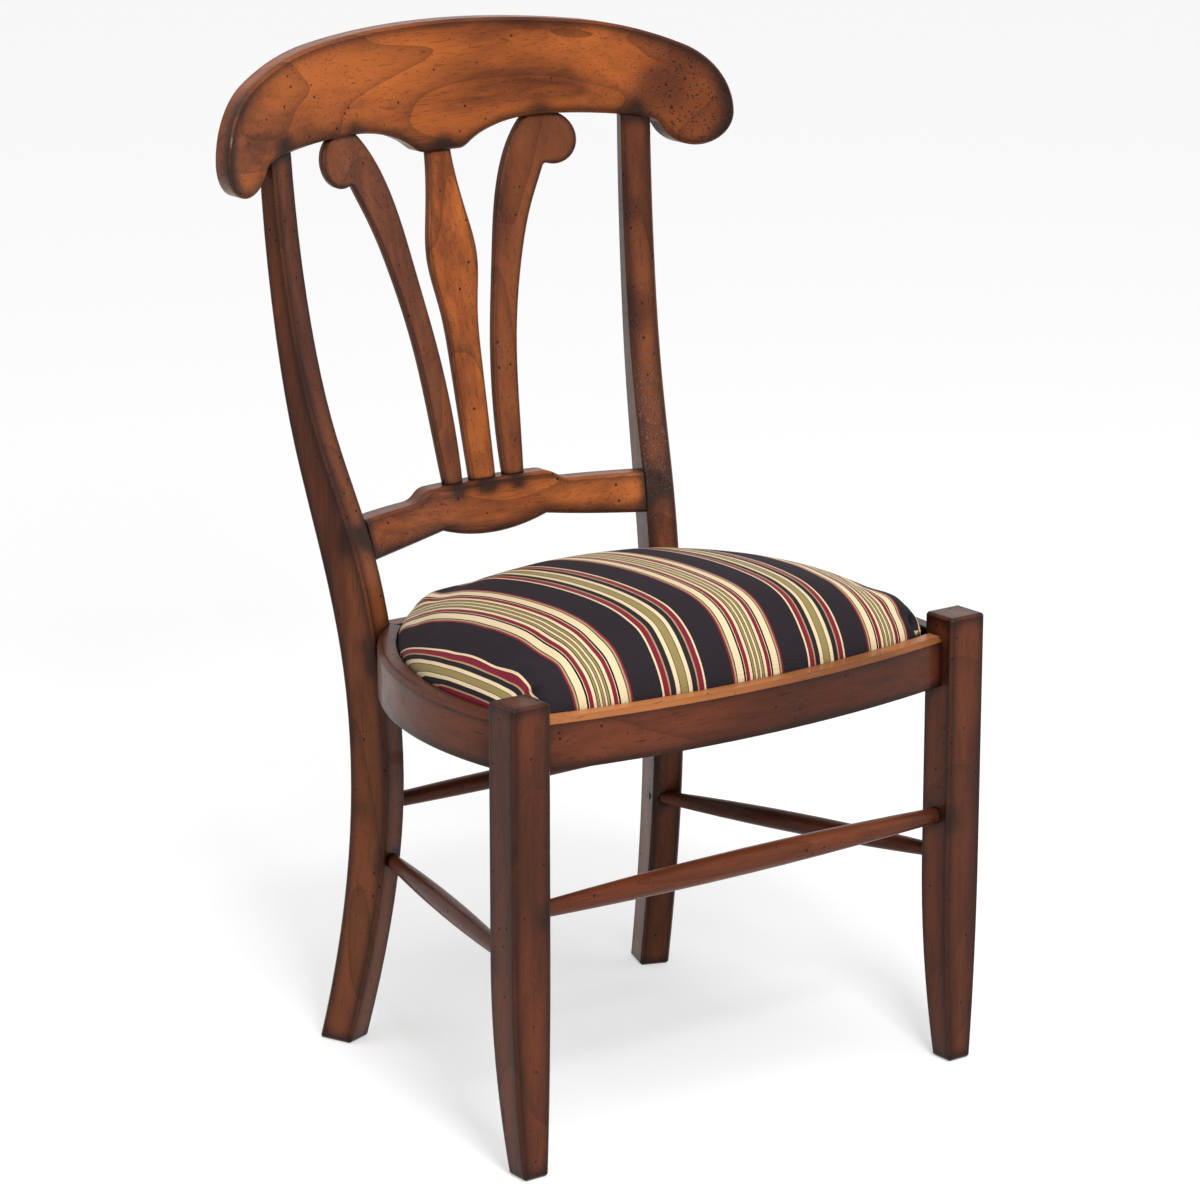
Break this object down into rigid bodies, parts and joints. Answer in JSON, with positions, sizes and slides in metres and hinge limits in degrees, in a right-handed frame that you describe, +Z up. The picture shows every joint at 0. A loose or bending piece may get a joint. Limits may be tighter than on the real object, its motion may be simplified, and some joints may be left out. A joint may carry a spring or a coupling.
{
  "type": "dining side chair",
  "caption": "Wooden dining side chair with a bowed crest rail, vase and scroll splats, turned stretchers and a striped drop-in upholstered seat.",
  "frame": {"origin": "on the floor, below the middle of the chair's bounding box", "axes": "+Z up; the sitter faces -Y; +X is to the right for a viewer in front of the chair"},
  "size_m": [0.595, 0.5356, 0.976],
  "materials": {
    "frame_wood": "satin lacquer over a brown stain, glazed edges",
    "block_wood": "bare",
    "seat_fabric": "woven stripes",
    "plywood": "bare",
    "foam": "open cell foam",
    "dust_fabric": "matte"
  },
  "bodies": {
    "frame": {"front_leg_left": "frame_wood", "front_leg_right": "frame_wood", "rear_post_left": "frame_wood", "rear_post_right": "frame_wood", "crest_rail": "frame_wood", "lower_back_rail": "frame_wood", "splat_center": "frame_wood", "splat_left": "frame_wood", "splat_right": "frame_wood", "seat_rail_front": "frame_wood", "seat_rail_rear": "frame_wood", "seat_rail_left": "frame_wood", "seat_rail_right": "frame_wood", "stretcher_front": "frame_wood", "stretcher_rear": "frame_wood", "stretcher_left": "frame_wood", "stretcher_right": "frame_wood", "corner_block_front_left": "block_wood", "corner_block_front_right": "block_wood", "corner_block_rear_left": "block_wood", "corner_block_rear_right": "block_wood"},
    "slip_seat": {"seat_cover": "seat_fabric", "seat_board": "plywood", "seat_foam": "foam", "dust_cover": "dust_fabric"}
  },
  "joints": [
    {"name": "seat_lift", "type": "slide", "parent": "frame", "child": "slip_seat", "axis": [0, 0, 1], "range_m": [0, 0.15]}
  ]
}
